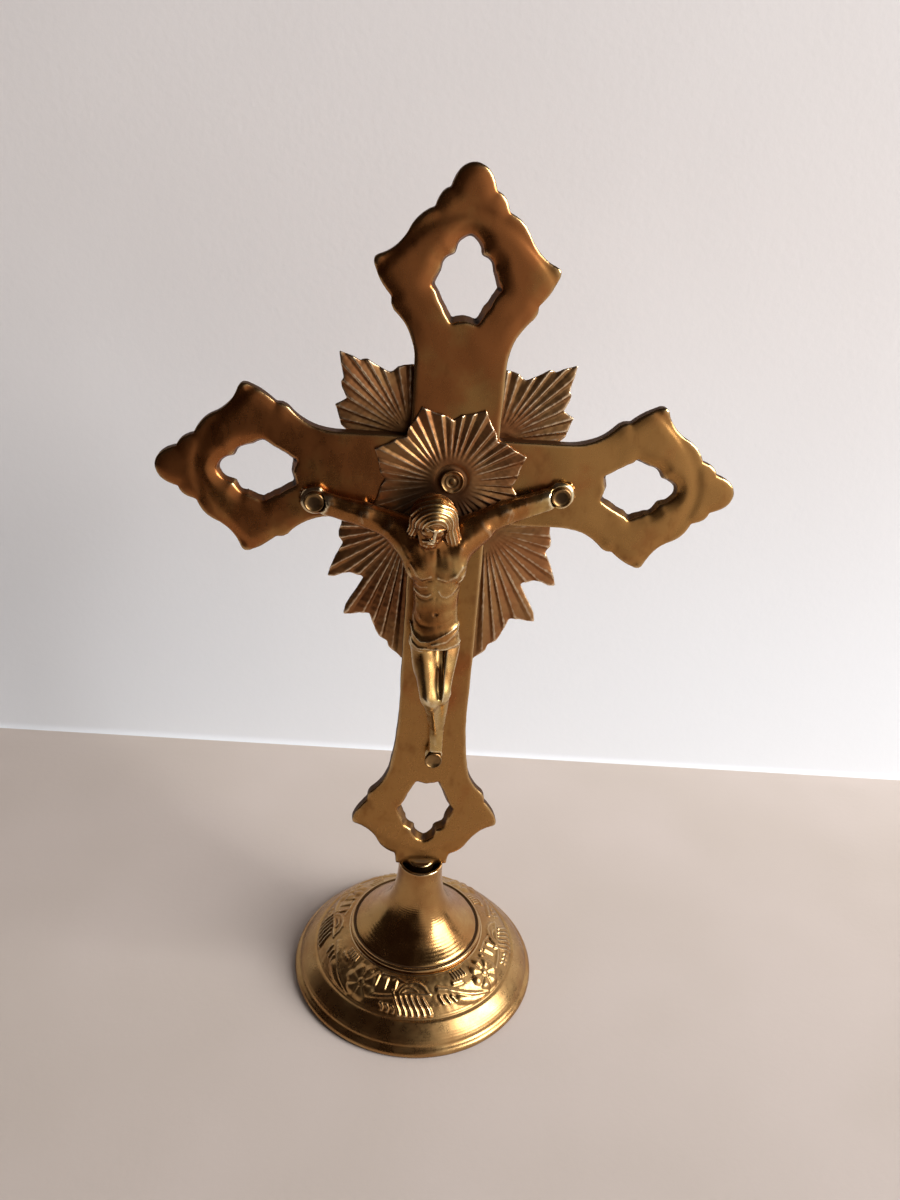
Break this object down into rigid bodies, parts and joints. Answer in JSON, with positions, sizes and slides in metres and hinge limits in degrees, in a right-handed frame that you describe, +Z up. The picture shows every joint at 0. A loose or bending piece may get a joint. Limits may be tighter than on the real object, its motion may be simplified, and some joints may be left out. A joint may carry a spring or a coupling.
{
  "type": "altar cross",
  "caption": "Standing brass altar crucifix: pierced cross with sunburst plate, nimbus and riveted figure on a bell neck and round foot.",
  "frame": {"origin": "centre of the foot's resting face, on the surface it stands on", "axes": "+Z up along the shaft, +X along the side arms, -Y the front that carries the figure"},
  "size_m": [0.154, 0.08, 0.25],
  "materials": {
    "cast_brass": "aged, brown patina, worn bright edges",
    "ray_brass": "aged, brown patina, bright ridges",
    "figure_brass": "aged, polished high points",
    "rivet_brass": "aged, rubbed rim",
    "spun_brass": "polished, tarnished",
    "stamped_brass": "polished, tarnished in the relief",
    "steel": "dull, oxidised"
  },
  "bodies": {
    "root": {"cross": "cast_brass", "ray_plate": "ray_brass", "nimbus": "ray_brass", "centre_rivet": "rivet_brass", "corpus": "figure_brass", "left_hand_rivet": "rivet_brass", "right_hand_rivet": "rivet_brass", "feet_rivet": "rivet_brass", "neck_bell": "spun_brass", "foot_dish": "stamped_brass", "threaded_stud": "steel", "spreader_washer": "steel", "hex_nut": "steel"}
  },
  "joints": []
}
